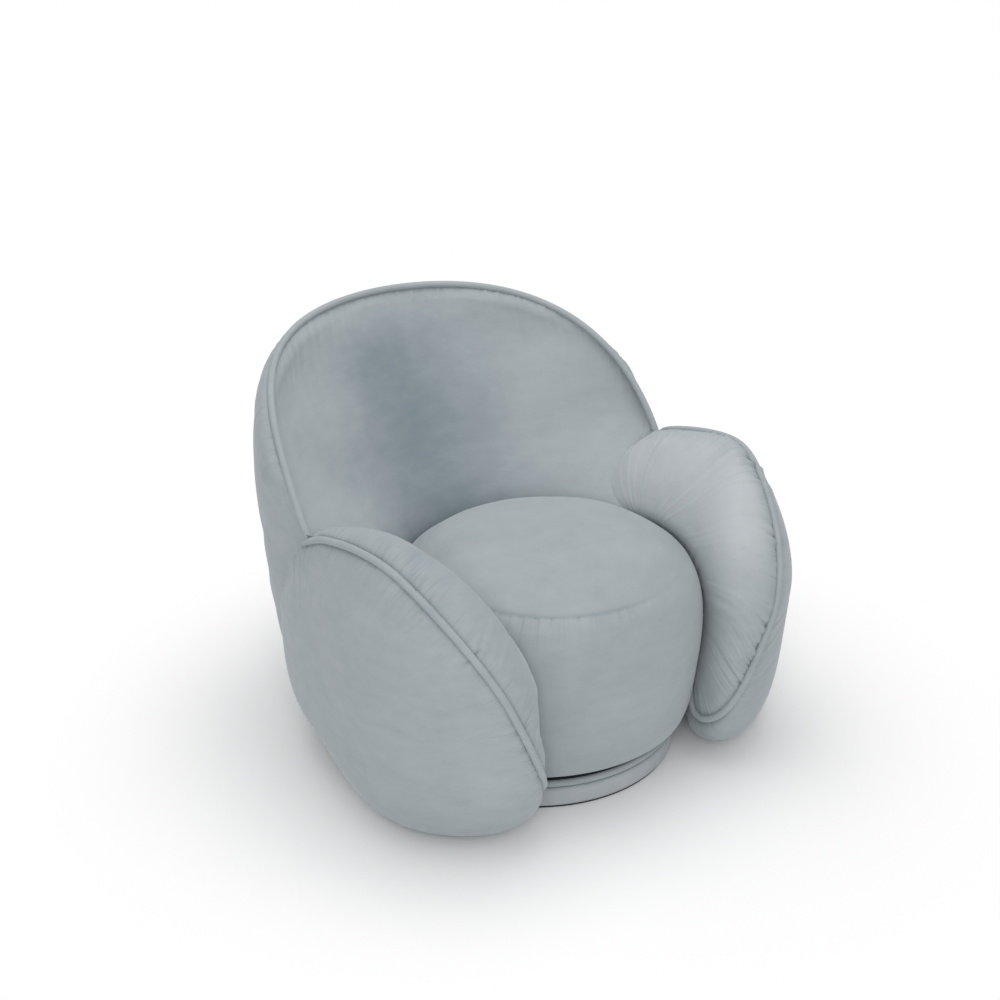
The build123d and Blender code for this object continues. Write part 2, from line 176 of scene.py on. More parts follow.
def evenPath(path, count, radius):
    # the path again with even steps, and close steps within a radius of its ends
    s = lengthAlong(path)
    tip = radius * (1 - np.cos(np.linspace(0, np.pi / 2, 7)))[:-1]
    where = np.concatenate([tip, np.linspace(radius, s[-1] - radius, count), s[-1] - tip[::-1]])
    return np.stack([np.interp(where, s, path[:, k]) for k in range(3)], 1)


def softPath(path, passes):
    # each pass takes the mean of a point and its neighbours, so corners become bends
    for step in range(passes):
        path = np.concatenate([path[:1], (path[:-2] + 2 * path[1:-1] + path[2:]) / 4, path[-1:]])
    return path


# Cloth simulation of the pads

padCloth = dict(voxel=0.0075, frames=18, pressure=4.0, grow=0.012, quality=5, stretch=22, shear=8, bend=1.2,
                mass=0.25, smooth=7, neighbours=4, nearest=0.002)


def readPoints(mesh):
    flat = np.zeros(len(mesh.vertices) * 3, np.float32)
    mesh.vertices.foreach_get("co", flat)
    return flat.reshape(-1, 3).astype(float)


def swollen(double, pinned):
    # the points of the copy after its cloth has swelled under pressure, with the pinned ones in place
    c = padCloth
    group = double.vertex_groups.new(name="held")
    group.add(np.flatnonzero(pinned).tolist(), 1.0, "REPLACE")
    cloth = double.modifiers.new("cloth", "CLOTH")
    fabric = cloth.settings
    fabric.use_pressure = True
    fabric.uniform_pressure_force = c["pressure"]
    fabric.vertex_group_mass = group.name
    fabric.shrink_min = -c["grow"]
    fabric.quality = c["quality"]
    fabric.tension_stiffness = c["stretch"]
    fabric.compression_stiffness = c["stretch"]
    fabric.shear_stiffness = c["shear"]
    fabric.bending_stiffness = c["bend"]
    fabric.mass = c["mass"]
    fabric.effector_weights.gravity = 0
    cloth.collision_settings.use_collision = False
    cloth.point_cache.frame_start = 1
    cloth.point_cache.frame_end = c["frames"]
    for step in range(1, c["frames"] + 1):
        bpy.context.scene.frame_set(step)
    graph = bpy.context.evaluated_depsgraph_get()
    points = readPoints(double.evaluated_get(graph).data)
    bpy.context.scene.frame_set(1)
    return points


def settle(piece, held, cap):
    # a remeshed copy swells with its sewn and buried points held, and its moves are carried back
    c = padCloth
    double = bpy.data.objects.new(piece.name + "Swell", piece.data.copy())
    bpy.context.collection.objects.link(double)
    remesh = double.modifiers.new("remesh", "REMESH")
    remesh.mode = "VOXEL"
    remesh.voxel_size = c["voxel"]
    graph = bpy.context.evaluated_depsgraph_get()
    mesh = bpy.data.meshes.new_from_object(double.evaluated_get(graph))
    double.modifiers.clear()
    double.data = mesh
    rest = readPoints(mesh)
    pinned = held(rest)
    shift = swollen(double, pinned) - rest
    far = np.linalg.norm(shift, axis=1, keepdims=True)
    shift = shift * np.tanh(far / cap) * cap / np.maximum(far, 1e-9)
    shift[pinned] = 0
    # taut velvet: each pass takes the mean of a point and its neighbours
    ends = np.zeros(len(mesh.edges) * 2, np.int32)
    mesh.edges.foreach_get("vertices", ends)
    ends = np.concatenate([ends.reshape(-1, 2), ends.reshape(-1, 2)[:, ::-1]])
    count = np.bincount(ends[:, 0], minlength=len(rest))[:, None]
    for step in range(c["smooth"]):
        total = np.stack([np.bincount(ends[:, 0], shift[ends[:, 1], k], len(rest)) for k in range(3)], 1)
        shift = (shift + total) / (1 + count)
    tree = kdtree.KDTree(len(rest))
    for k, p in enumerate(rest):
        tree.insert(p, k)
    tree.balance()
    points = readPoints(piece.data)
    near = [tree.find_n(p, c["neighbours"]) for p in points]
    index = np.array([[hit[1] for hit in hits] for hits in near])
    weight = 1 / (np.array([[hit[2] for hit in hits] for hits in near]) + c["nearest"]) ** 2
    points += (shift[index] * weight[..., None]).sum(1) / weight.sum(1)[:, None]
    piece.data.vertices.foreach_set("co", points.astype(np.float32).ravel())
    piece.data.update()
    bpy.data.objects.remove(double)
    bpy.data.meshes.remove(mesh)
    most = round(float(np.linalg.norm(shift, axis=1).max()) * 1000, 1)
    print(piece.name, "swelled by up to", most, "mm,", len(rest), "points")


# Shader maths

class Value:
    # a shader socket, which adds a Math node where it stands in an expression
    def __init__(self, finish, socket):
        self.finish = finish
        self.socket = socket

    def math(self, operation, first, second):
        return self.finish.add("ShaderNodeMath", {"operation": operation}, {0: first, 1: second})

    def __add__(self, other):
        return self.math("ADD", self, other)

    def __radd__(self, other):
        return self.math("ADD", other, self)

    def __sub__(self, other):
        return self.math("SUBTRACT", self, other)

    def __rsub__(self, other):
        return self.math("SUBTRACT", other, self)

    def __mul__(self, other):
        return self.math("MULTIPLY", self, other)

    def __rmul__(self, other):
        return self.math("MULTIPLY", other, self)


class Finish:
    def __init__(self, name):
        self.material = bpy.data.materials.new(name)
        self.material.use_nodes = True
        self.tree = self.material.node_tree
        self.shader = self.tree.nodes["Principled BSDF"]
        self.place = self.add("ShaderNodeTexCoord", {}, {}, "Object")

    def add(self, kind, settings, inputs, output=0):
        # one node: its settings, then the values or links of its sockets
        node = self.tree.nodes.new(kind)
        for key, value in settings.items():
            setattr(node, key, value)
        for key, value in inputs.items():
            if isinstance(value, Value):
                self.tree.links.new(value.socket, node.inputs[key])
            else:
                node.inputs[key].default_value = value
        return Value(self, node.outputs[output])

    def noise(self, scale, detail=3.0, rough=0.55, place=None, warp=0.0):
        inputs = {"Vector": place or self.place, "Scale": scale, "Detail": detail, "Roughness": rough,
                  "Distortion": warp}
        return self.add("ShaderNodeTexNoise", {}, inputs)

    def stretch(self, scale, turn=(0, 0, 0)):
        return self.add("ShaderNodeMapping", {}, {"Vector": self.place, "Scale": scale, "Rotation": turn})

    def onCloth(self, along, off=0.0):
        # a place on the cloth, by its lengths along a seam and off it
        return self.add("ShaderNodeCombineXYZ", {}, {0: along, 1: off})

    def mark(self, label):
        return self.add("ShaderNodeAttribute", {"attribute_name": label}, {}, "Fac")

    def mix(self, factor, first, second):
        return self.add("ShaderNodeMix", {"data_type": "RGBA"}, {0: factor, 6: first, 7: second}, 2)

    def bump(self, height, strength, distance, below=None):
        inputs = {"Height": height, "Strength": strength, "Distance": distance}
        if below is not None:
            inputs["Normal"] = below
        return self.add("ShaderNodeBump", {}, inputs)

    def feed(self, **sockets):
        for label, value in sockets.items():
            socket = self.shader.inputs[label.replace("_", " ")]
            if isinstance(value, Value):
                self.tree.links.new(value.socket, socket)
            else:
                socket.default_value = value
        return self.material


def tone(r, g, b):
    # screen colour to linear
    return tuple(((c / 255 + 0.055) / 1.055) ** 2.4 for c in (r, g, b)) + (1.0,)


# Velvet: each bump is its strength and its distance

# seamShade is the colour of the painted shade in seams and in the creases of gathers
velvet = dict(pale=tone(180, 185, 188), deep=tone(123, 135, 140), seamShade=tone(96, 108, 113),
              layMiddle=0.56, patch=7.0, patchDepth=0.35, streak=(22, 22, 55), streakTurn=(0.4, 0.3, 0.2),
              streakDepth=0.3, speck=850.0, speckDepth=0.25, fuzz=95.0, fuzzBump=(0.10, 0.0012),
              pileBump=(0.22, 0.0005), gatherAlong=150.0, gatherOff=9.0, gatherBump=(0.55, 0.004),
              creaseShadeHigh=0.48, creaseShadeGain=3.4, spotAlong=9.0, spotOff=2.0, spotLow=0.25, spotGain=2.0,
              seamShare=0.8, rib=260.0, ribBump=(0.35, 0.0015), rough=0.78, roughSpread=0.2,
              gloss=0.15, sheen=0.28, sheenRough=0.42, sheenTint=(0.86, 0.92, 0.95, 1))


def velvetFinish(name, sewn=True):
    v = velvet
    f = Finish(name)
    patch = f.noise(v["patch"], 3.0, 0.55, warp=0.5)  # hand-brushed patches of the pile
    streak = f.noise(1.0, 4.0, 0.6, f.stretch(v["streak"], v["streakTurn"]))
    speck = f.noise(v["speck"], 2.0, 0.6)
    # the pile's own tone, in patches, streaks and specks
    napAndPaintedLight = ((patch - 0.5) * v["patchDepth"] + (streak - 0.5) * v["streakDepth"]
           + (speck - 0.5) * v["speckDepth"])
    lay = v["layMiddle"] + napAndPaintedLight
    # the sewn pieces' mark added here is painted light and shade: panels painted lighter or darker where the
    # lamps fall unevenly, and a shaded band in the back's hollow
    if sewn:
        lay = lay + f.mark("napAndPaintedLight")
    colour = f.mix(lay, v["deep"], v["pale"])
    soft = f.bump(f.noise(v["fuzz"], 3.0, 0.6), *v["fuzzBump"])
    along = f.mark("along")
    if sewn:
        # gathers: noise stretched across the seam, in groups, fading with the distance from it; painted shade
        # darkens their creases with the seam shade colour
        off = f.mark("off")
        gather = f.noise(1.0, 2.0, 0.5, f.onCloth(along * v["gatherAlong"], off * v["gatherOff"]))
        spots = f.noise(1.0, 2.0, 0.5, f.onCloth(along * v["spotAlong"], off * v["spotOff"]))
        fade = f.mark("gather") * ((spots - v["spotLow"]) * v["spotGain"])
        creaseShade = (v["creaseShadeHigh"] - gather) * v["creaseShadeGain"]
        colour = f.mix(fade * creaseShade, colour, v["seamShade"])
        # painted shade in the stitched groove beside each seam and welt
        colour = f.mix(f.mark("seam") * v["seamShare"], colour, v["seamShade"])
        soft = f.bump(gather * fade, *v["gatherBump"], soft)
    else:
        rib = f.noise(1.0, 2.0, 0.6, f.onCloth(along * v["rib"]))
        soft = f.bump(rib, *v["ribBump"], soft)
    pile = f.bump(speck, *v["pileBump"], soft)
    return f.feed(Base_Color=colour, Roughness=v["rough"] + speck * v["roughSpread"], Normal=pile,
                  Sheen_Weight=v["sheen"], Sheen_Roughness=v["sheenRough"], Sheen_Tint=v["sheenTint"],
                  Specular_IOR_Level=v["gloss"])


velvetPad = velvetFinish("velvetPad")
velvetCord = velvetFinish("velvetCord", sewn=False)


def dress(piece, material, slot, *replaced):
    piece.data.materials.append(material)
    if replaced:
        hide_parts(*replaced)


# Cloth beside a welt: it dips to the cord and rolls up next to it

sewing = dict(dipWidth=0.0075, rollOff=0.024, rollWidth=0.014, shadeWidth=0.006)


# Seat pouf

seat = dict(footRadius=0.285, bellyRadius=0.291, foot=0.078, belly=0.118, crown=0.428, roundness=0.48,
            overhang=0.052, hem=0.004, seam=0.389, seamDepth=0.0011, seamWidth=0.0045, seamRing=0.236,
            frontTurn=0.6, puckerRing=0.25, puckerSize=0.016, puckerFall=0.02, puckerHeight=0.0008,
            swellOff=0.018, swellWidth=0.014, swellHeight=0.0006, waveSize=0.2, waveHeight=0.0009,
            heldBelow=0.1, heldSeam=0.006, cap=0.004, around=480, up=150)


def seatShift(z):
    return -seat["overhang"] * (z - seat["foot"]) / (seat["crown"] - seat["foot"])


def seatRadius(z):
    # superellipse from the belly to the crown, a short flare below it
    rise = np.clip((z - seat["belly"]) / (seat["crown"] - seat["belly"]), 0, 1)
    above = seat["bellyRadius"] * (1 - rise ** (2 / seat["roundness"])) ** (seat["roundness"] / 2)
    flare = np.clip((z - seat["foot"]) / (seat["belly"] - seat["foot"]), 0, 1)
    below = seat["footRadius"] + (seat["bellyRadius"] - seat["footRadius"]) * (1 - (1 - flare) ** 2)
    return np.where(z >= seat["belly"], above, below)


def seatDepth(p):
    # metres inside the pouf, negative outside, from the superellipse level
    z = p[..., 2]
    r = np.hypot(p[..., 0], p[..., 1] - seatShift(z))
    power = 2 / seat["roundness"]
    rise = np.maximum((z - seat["belly"]) / (seat["crown"] - seat["belly"]), 0)
    level = ((r / seat["bellyRadius"]) ** power + rise ** power) ** (1 / power)
    below = seatRadius(np.maximum(z, seat["foot"])) - r
    return np.where(z >= seat["belly"], (1 - level) * seat["bellyRadius"], below)


def makeSeat():
    # the profile carried around the leaning axis, then moved along its normals by seam, puckers and waves
    s = seat
    lift = np.radians(90 * np.linspace(0, 1, s["up"]) ** 0.9)
    power = s["roundness"]
    crown = np.stack([s["bellyRadius"] * np.cos(lift) ** power,
                      s["belly"] + (s["crown"] - s["belly"]) * np.sin(lift) ** power], 1)
    z = np.linspace(s["foot"] + s["hem"], s["belly"], 14)[:-1]
    side = np.stack([seatRadius(z), z], 1)
    bend = np.radians(np.linspace(-90, 0, 6))[:-1]
    hem = np.stack([s["footRadius"] - s["hem"] + s["hem"] * np.cos(bend),
                    s["foot"] + s["hem"] + s["hem"] * np.sin(bend)], 1)
    under = np.stack([s["footRadius"] * np.array([0, 0.4, 0.8, 0.95]), np.full(4, s["foot"])], 1)
    profile = np.concatenate([under, hem, side, crown])
    profile[-1, 0] = 0
    radius, level = profile[:, :1], profile[:, 1:2]
    turn = np.linspace(0, 2 * np.pi, s["around"], endpoint=False) + np.pi / 2  # starts at the rear
    grid = np.stack([radius * np.cos(turn), radius * np.sin(turn) + seatShift(level),
                     np.repeat(level, len(turn), 1)], -1)
    outward = gridNormals(grid, True)
    away = grid - [0, -0.02, 0.25]  # from the pouf's middle
    outward *= np.sign((outward * away).sum(-1, keepdims=True))
    off = s["seam"] - grid[..., 2]
    # the seam shows most where it faces forward
    front = ramp(np.cos(turn + np.pi / 2 + s["frontTurn"]), 0.6, 0.97)
    groove = bell(off, s["seamWidth"]) * (0.25 + 0.75 * front)
    below = np.where(off > 0, np.exp(-np.maximum(off, 0) / s["puckerFall"]), 0)
    pucker = ripple(turn * s["puckerRing"], s["puckerSize"], 5) * below * (0.2 + 0.8 * front)
    swell = bell(np.abs(off) - s["swellOff"], s["swellWidth"])
    free = ramp(grid[..., 2], 0.09, 0.16)
    move = (-s["seamDepth"] * groove + s["swellHeight"] * swell + s["puckerHeight"] * pucker
            + s["waveHeight"] * free * waves(grid, s["waveSize"], 3))
    grid = grid + outward * move[..., None]
    grid[-1] = grid[-1].mean(0)
    grid[0] = grid[0].mean(0)
    # painted shade: the seam mark darkens the seam's groove and the gather mark the creases of the puckers
    # below it, both most at the front
    marks = {"seam": 0.3 * bell(off, 0.6 * s["seamWidth"]) * (0.2 + 0.8 * front), "off": np.abs(off),
             "along": np.repeat((turn * s["seamRing"])[None], len(grid), 0), "gather": below * front * 0.7,
             "napAndPaintedLight": np.zeros(grid.shape[:2])}
    piece = gridPiece("seatPouf", grid, "upper", marks=marks)

    def held(p):
        return (p[:, 2] < s["heldBelow"]) | (np.abs(p[:, 2] - s["seam"]) < s["heldSeam"])

    settle(piece, held, s["cap"])
    dress(piece, velvetPad, "velvet", "seat_top_pad", "seat_border_pad")


makeSeat()
print("seat pouf made")


# Tub back, its forms: the hollow is an arc at each level, by half width, the Y of its sides and of its middle

back = dict(axisY=0.110, foot=0.008, footRadius=0.305, waist=(0.424, 0.327), shoulder=(0.435, 0.511),
            head=(0.428, 0.760), shoulderDrop=0.05, lipDrop=0.03,
            rimRadius=0.393, rimY=0.131, rimArc=0.584, rimArcY=0.619, rimArcZ=0.151, rimEnd=math.radians(87),
            levels=(0.340, 0.372, 0.467, 0.564, 0.642, 0.699, 0.760),
            halfWidths=(0.230, 0.236, 0.395, 0.403, 0.406, 0.367, 0.340),
            sides=(0.070, 0.075, 0.128, 0.217, 0.246, 0.245, 0.249),
            middles=(0.232, 0.249, 0.327, 0.406, 0.472, 0.511, 0.545),
            poufGap=0.0015, poufGapMore=0.003, poufRound=0.006,
            seamTurns=(15, 125), lap=0.005, innerLap=0.03, innerLapRise=(0.0, 0.12), footLap=0.05,
            footLapRise=(0.55, 0.78), lipShare=0.16, endMiddle=np.array([0.345, 0.154, 0.36]), endStart=0.84,
            endCrowd=0.86, leadMost=0.05, leadGap=0.004,
            gatherSlant=0.2, fineGather=0.018, fineFall=0.02, wideGather=0.04, wideFall=0.05,
            gatherInner=0.0010, gatherOuter=0.0006, dipInner=0.003, dipOuter=0.004, rollHeight=0.0016,
            waveSize=0.24, waveHeight=0.0009, paintedShadeX=-0.015, paintedShadeLeft=0.15, paintedShadeRight=0.19, paintedShadeLean=0.25,
            paintedShadeLevel=0.55, paintedShadeWave=0.02, paintedShadeWaveSize=0.3, paintedLightRest=0.08, paintedShadeBand=0.56, paintedShadeHead=0.1,
            paintedShadeHeadRise=(0.58, 0.7),
            heldTurn=1.54, heldWelt=0.009, heldSeam=0.012, heldPouf=0.02, heldFoot=0.02, cap=0.006,
            weltRadius=0.0062, weltEnd=84.6, weltDrop=0.0005, around=520)


def circleFrom(axisY, centreY, radius, turn):
    # distance from (0, axisY) to a circle about (0, centreY), in the direction turn from +Y
    m = axisY - centreY
    return -m * np.cos(turn) + np.sqrt(np.maximum(radius ** 2 - (m * np.sin(turn)) ** 2, 1e-6))


def backOuter(z):
    # barrel radius: an arc through waist, shoulder and head, and a second arc from the waist to the foot
    b = back
    (cr, cz), rad = circleBy(b["waist"], b["shoulder"], b["head"])
    upper = cr + np.sqrt(np.maximum(rad ** 2 - (z - cz) ** 2, 0))
    slope = -(b["waist"][1] - cz) / (b["waist"][0] - cr)  # dr/dz of the upper arc at the waist
    way = np.array([slope, 1.0]) / math.hypot(slope, 1)
    inward = np.array([-way[1], way[0]])
    chord = np.array([b["footRadius"], b["foot"]]) - b["waist"]
    low = (chord @ chord) / (2 * chord @ inward)
    centre = np.array(b["waist"]) + inward * low
    lower = centre[0] + np.sqrt(np.maximum(low ** 2 - (z - centre[1]) ** 2, 0))
    return np.where(z >= b["waist"][1], upper, lower)


def backHollow(z, turn):
    b = back
    half, side, middle = (smoothTable(z, b["levels"], b[key]) for key in ("halfWidths", "sides", "middles"))
    deep = middle - side
    radius = (half ** 2 + deep ** 2) / (2 * deep)
    return circleFrom(b["axisY"], middle - radius, radius, turn)


def backRim(turn):
    b = back
    radius = circleFrom(b["axisY"], b["rimY"], b["rimRadius"], turn)
    y = b["axisY"] + radius * np.cos(turn)
    return radius, b["rimArcZ"] + np.sqrt(np.maximum(b["rimArc"] ** 2 - (b["rimArcY"] - y) ** 2, 0))


def backPoint(share, turn, inner):
    # share runs from 0 at the rim to 1 at the foot, on the inner or the outer panel
    b = back
    past = np.maximum(np.abs(turn) - b["rimEnd"], 0)  # beyond the rim's end the inner panel keeps its level
    rimR, rimZ = backRim(turn - np.sign(turn) * past) if inner else backRim(turn)
    z = rimZ + (b["foot"] - rimZ) * share
    drop = rimZ - z
    if inner:
        poufRadius = seatRadius(np.clip(z, seat["foot"], seat["crown"])) + b["poufGap"]
        poufRadius = poufRadius + b["poufGapMore"] * ramp(past, 0.0, 0.1)
        pouf = circleFrom(b["axisY"], seatShift(z), poufRadius, turn)
        pouf = np.where(z < seat["crown"], pouf, 0)
        base = softMax([backHollow(np.maximum(z, b["levels"][0]), turn), pouf], b["poufRound"])
        ease = 1 - np.clip(1 - drop / b["lipDrop"], 0, 1) ** 2
    else:
        base = backOuter(z)
        ease = np.sqrt(1 - np.clip(1 - drop / b["shoulderDrop"], 0, 1) ** 2)
    r = rimR + (base - rimR) * ease
    return np.stack([r * np.sin(turn), b["axisY"] + r * np.cos(turn), z], -1)


# Arms: turns are in degrees in the welt's plane, where 0 is up and 90 forward

arm = dict(centreX=0.336, centreY=-0.107, belly=0.305, halfWidth=0.122, nose=0.222, tail=0.458, top=0.547,
           foot=0.008, crownPower=1.5, footPower=5.3, planPower=2.2, lean=0.098, rake=-0.033, curl=0.078,
           levelScale=0.12, plump=0.002, tailDraw=0.012, tailStart=(-0.08, 0.14), outerSide=(-0.02, 0.06),
           poufGap=0.0015, poufRound=0.010, footRound=0.004, endLap=0.004, endReach=0.075, endRound=0.014,
           endCrease=0.006, innerSide=(-0.02, 0.03), upperSide=(0.26, 0.40), nearShare=0.55,
           nearRise=(0.0, 0.07), farShare=0.45, farRise=(0.10, 0.22), lowShare=0.8, lowRise=(0.13, 0.19),
           noseTurn=130, noseSpread=(50, 130), frontTurns=(60, 190), seamClear=0.006, poufClear=0.003,
           sewnIn=0.01, sewnOut=0.02, weltLift=dict(left=math.radians(8), right=math.radians(1.8)),
           liftStart=(-46, -30), liftEnd=dict(left=(5, 50), right=(-5, 35)), weltRadius=0.0064,
           weltOut=0.005, weltJoin=(82, 87), weltSteps=420, weltSoft=24, gatherSlant=0.3, fineGather=0.014,
           fineFall=0.022, wideGather=0.030, wideFall=0.045, gatherGroup=0.21, gatherHeight=0.0022,
           ridgeHeight=0.006, ridgeFall=0.03, hollowInner=0.004, hollowOuter=0.0015, hollowOff=0.05,
           hollowWidth=0.03, dipDepth=0.0042, rollHeight=0.0012, waveSize=0.22, waveHeight=0.0007,
           innerPaintedLight=dict(left=0.40, right=-0.08), paintedLightRise=(0.31, 0.46), heldWelt=0.011, heldPouf=0.012,
           heldSeam=0.01, heldFoot=0.016, cap=0.006, around=640, across=125)
seamPoint = np.array([0.395, 0.128, 0.467])  # where arm, back and both welts meet
seamNormal = unit(np.array([0.505, -0.754, -0.419]))
weltNormal = unit(np.array([0.9095, -0.0691, -0.4099]))
weltForward = unit(np.array([-0.0757, -0.9971, 0.0]))
weltUpward = unit(np.cross(weltNormal, weltForward))
weltUpward *= np.sign(weltUpward[2])
weltMiddle = np.array([0.3155, -0.026, 0.3144])
noseMiddle = np.array([0.2484, -0.230, 0.200])  # in the welt's plane, ahead of the pouf


def armLevel(p):
    # level ovals on a leaning line: 1 on the surface, smaller inside
    a = arm
    rise = p[..., 2] - a["belly"]
    climb = np.where(rise >= 0, rise / (a["top"] - a["belly"]), -rise / (a["belly"] - a["foot"]))
    power = np.where(rise >= 0, a["crownPower"], a["footPower"])
    spread = (1 - np.clip(climb, 0, 0.9999) ** power) ** (1 / power)
    along = p[..., 1] - a["centreY"] - a["rake"] * rise
    along = np.where(along > 0, along / a["tail"], along / a["nose"])
    bend = a["curl"] * spread * np.minimum(along / spread, 0) ** 2
    across = (p[..., 0] - a["centreX"] - a["lean"] * rise + bend) / a["halfWidth"]
    oval = (np.abs(across) ** a["planPower"] + np.abs(along) ** a["planPower"]) ** (1 / a["planPower"])
    return (oval ** power + np.maximum(climb, 0) ** power) ** (1 / power)


def armOwn(p):
    # metres outside the arm's own form, a little small for the swelling, drawn in on its tail's outer side
    a = arm
    outer = ramp((p - weltMiddle) @ weltNormal, *a["outerSide"])
    tail = a["tailDraw"] * ramp(p[..., 1], *a["tailStart"]) * outer
    return (armLevel(p) - 1) * a["levelScale"] + a["plump"] + tail


def armTucked(p):
    # the own form tucked against the pouf
    return softMax([armOwn(p), seatDepth(p) + arm["poufGap"]], arm["poufRound"])


def armField(p):
    # metres outside the arm, which ends at the seam point and runs roundly past the seam plane away from it
    a = arm
    ahead = (p - seamPoint) @ seamNormal
    away = np.linalg.norm(p - seamPoint, axis=-1)
    inside = 1 - ramp((p - weltMiddle) @ weltNormal, *a["innerSide"])
    above = np.maximum(inside, ramp(p[..., 2], *a["upperSide"]))
    near = a["nearShare"] * ramp(away, *a["nearRise"]) + a["farShare"] * ramp(away, *a["farRise"])
    far = near * above + a["lowShare"] * ramp(away, *a["lowRise"]) * inside
    past = -ahead - a["endLap"] - a["endReach"] * far
    ended = softMax([armTucked(p), past], a["endCrease"] + a["endRound"] * far)
    return softMax([ended, a["foot"] - p[..., 2]], a["footRound"])


def reach(field, start, ways, far=0.9):
    # how far along each way the field turns positive, by halving
    near, outer = np.zeros(ways.shape[:-1]), np.full(ways.shape[:-1], far)
    for step in range(34):
        middle = (near + outer) / 2
        inside = field(start + ways * middle[..., None]) < 0
        near, outer = np.where(inside, middle, near), np.where(inside, outer, middle)
    return near


def makeArm(side):
    # rays by their turn in the welt's plane and their tilt out of it end on the arm's field
    a = arm
    # worked out as the left arm, and mirrored for the right one
    flip = np.array([1 if side == "left" else -1, 1, 1])
    turn = np.radians(np.linspace(-160, 200, a["around"], endpoint=False))
    tilt = np.radians(90) * powSigned(np.linspace(-1, 1, a["across"]), 1.5)  # closer rows beside the welt
    degrees = np.degrees(turn)
    # the welt rides up on the arm's top
    lift = a["weltLift"][side] * ramp(degrees, *a["liftStart"]) * (1 - ramp(degrees, *a["liftEnd"][side]))
    rows = tilt[:, None] - lift * np.cos(tilt)[:, None] ** 2
    flat = np.cos(turn)[:, None] * weltUpward + np.sin(turn)[:, None] * weltForward
    ways = np.cos(rows)[..., None] * flat + np.sin(rows)[..., None] * weltNormal
    # rays toward the nose start ahead of the pouf, which lies between the nose and the middle
    aside = np.abs((degrees - a["noseTurn"] + 180) % 360 - 180)
    ahead = (1 - ramp(aside, *a["noseSpread"])) * np.cos(tilt)[:, None] ** 2
    start = weltMiddle + ahead[..., None] * (noseMiddle - weltMiddle)
    length = reach(armField, start, ways)
    grid = start + ways * length[..., None]
    outward = gridNormals(grid, True)
    outward *= np.sign((outward * ways).sum(-1, keepdims=True))
    off = length * np.abs(np.sin(tilt))[:, None]
    weltRow = a["across"] // 2
    edge = grid[weltRow]
    s = lengthAlong(edge)
    # the welt starts at the seam point and ends at the pouf, under the nose
    low, high = a["frontTurns"]
    first = np.flatnonzero(((edge - seamPoint) @ seamNormal > a["seamClear"]) & (degrees < low))[0]
    last = np.flatnonzero((seatDepth(edge) < -a["poufClear"]) & (degrees > low) & (degrees < high))[-1]
    sewn = ramp(s, s[first] - a["sewnOut"], s[first] + a["sewnIn"])
    sewn = sewn * (1 - ramp(s, s[last] - a["sewnIn"], s[last] + a["sewnOut"]))
    inner = (tilt < 0)[:, None]
    slant = s + a["gatherSlant"] * off
    gather = (ripple(slant, a["fineGather"], 11) * np.exp(-off / a["fineFall"])
              + 0.6 * ripple(slant, a["wideGather"], 12) * np.exp(-off / a["wideFall"]))
    gather *= np.where(inner, 1.0, 0.6) * (0.6 + 0.4 * ripple(s, a["gatherGroup"], 13))
    dip = bell(off, sewing["dipWidth"])
    roll = bell(off - sewing["rollOff"], sewing["rollWidth"])
    hollow = np.where(inner, a["hollowInner"], a["hollowOuter"])
    hollow = hollow * bell(off - a["hollowOff"], a["hollowWidth"])
    ridge = a["ridgeHeight"] * np.exp(-off / a["ridgeFall"]) - hollow
    pucker = a["gatherHeight"] * gather * (1 - 0.5 * dip)
    move = sewn * (ridge - a["dipDepth"] * dip + a["rollHeight"] * roll + pucker)
    move = move + a["waveHeight"] * waves(grid, a["waveSize"], 21)
    grid = grid + outward * move[..., None]
    grid[0] = grid[0].mean(0)
    grid[-1] = grid[-1].mean(0)
    # painted light: the inner panel is painted lighter on the left arm and a little darker on the right one,
    # more so toward the top
    paintedLight = a["innerPaintedLight"][side] * (0.1 + ramp(grid[..., 2], *a["paintedLightRise"]))
    # the seam mark is painted shade beside the welt, the gather mark painted shade in the gathers' creases
    marks = {"seam": sewn * bell(off, sewing["shadeWidth"]), "off": off,
             "along": np.repeat(s[None], len(grid), 0),
             "gather": sewn * np.exp(-off / np.where(inner, 0.034, 0.03)) * np.where(inner, 1.0, 0.75),
             "napAndPaintedLight": np.where(inner, paintedLight, 0.0) * ramp(off, 0.0, 0.05)}
    pad = gridPiece(side + "ArmPad", grid * flip, "upper", marks=marks)
    sewnEdge = edge[first:last:4]

    def held(points):
        p = points * flip
        sewnLine = np.linalg.norm(p[:, None] - sewnEdge[None], axis=-1).min(1) < a["heldWelt"]
        seamSide = (p - seamPoint) @ seamNormal < a["heldSeam"]
        return sewnLine | (seatDepth(p) > -a["heldPouf"]) | seamSide | (p[:, 2] < a["heldFoot"])

    settle(pad, held, a["cap"])
    dress(pad, velvetPad, "velvet", side + "_arm_inner_pad", side + "_arm_outer_pad")
    # the cord comes off the back's rim and follows the arm's edge
    rimTurn = np.radians(np.linspace(*a["weltJoin"], 10))
    rimR, rimZ = backRim(rimTurn)
    rim = np.stack([rimR * np.sin(rimTurn), back["axisY"] + rimR * np.cos(rimTurn), rimZ], -1)
    shown = slice(first, last + 1)
    line = np.concatenate([rim, [seamPoint], edge[shown] + outward[weltRow, shown] * a["weltOut"]])
    line = softPath(evenPath(line, a["weltSteps"], 0.002), a["weltSoft"])
    line = evenPath(line, a["weltSteps"], a["weltRadius"])
    cord, length = tubeGrid(line * flip, a["weltRadius"])
    welt = gridPiece(side + "ArmWelt", cord, "upper", marks={"along": length})
    dress(welt, velvetCord, "velvet", side + "_arm_welt")


makeArm("left")
makeArm("right")
print("arms made")


# Tub back, its pad and welt

